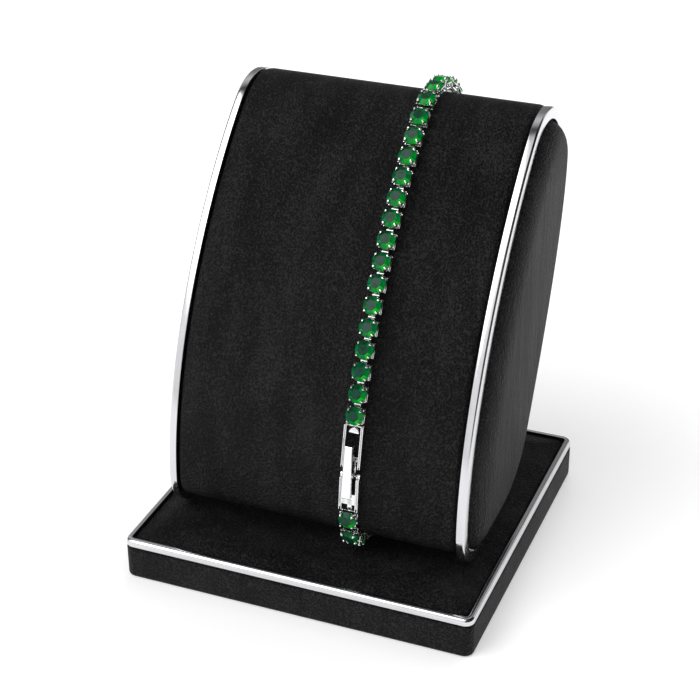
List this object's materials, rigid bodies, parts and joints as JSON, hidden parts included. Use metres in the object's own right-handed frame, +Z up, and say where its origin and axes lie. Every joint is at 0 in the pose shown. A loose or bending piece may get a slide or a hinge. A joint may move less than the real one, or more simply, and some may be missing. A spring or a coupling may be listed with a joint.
{
  "type": "tennis bracelet on a display stand",
  "caption": "Tennis bracelet of round green stones in four-prong links with a fold-over clasp, looped round a leaning padded display block on a square base.",
  "frame": {"origin": "middle of the flat underside of the base", "axes": "+Z up, -Y towards the front of the stand where the clasp shows, +X to its right seen from the front"},
  "size_m": [0.06, 0.0588, 0.0755],
  "materials": {
    "leatherette": "black grained leatherette, satin",
    "leatherette_pad": "black grained leatherette over thin padding, satin",
    "leatherette_body": "black grained leatherette stretched over the block, satin",
    "trim": "polished chromed strip",
    "silver": "polished rhodium-plated silver",
    "stone": "faceted green stones in polished settings"
  },
  "bodies": {
    "stand": {"base_box": "leatherette", "base_trim": "trim", "base_pad": "leatherette_pad", "block_body": "leatherette_body", "ring_left": "trim", "ring_right": "trim", "end_panel_left": "leatherette_pad", "end_panel_right": "leatherette_pad", "chain_front": "stone", "chain_back": "stone", "clasp_upper_frame": "silver", "clasp_lower_frame": "silver", "clasp_hinge_pin": "silver"},
    "lever": {"clasp_lever": "silver"}
  },
  "joints": [
    {"name": "lever_hinge", "type": "hinge", "parent": "stand", "child": "lever", "pos_m": [0.0068, -0.02181, 0.02065], "axis": [1, 0, 0], "range_deg": [0, 110]}
  ]
}
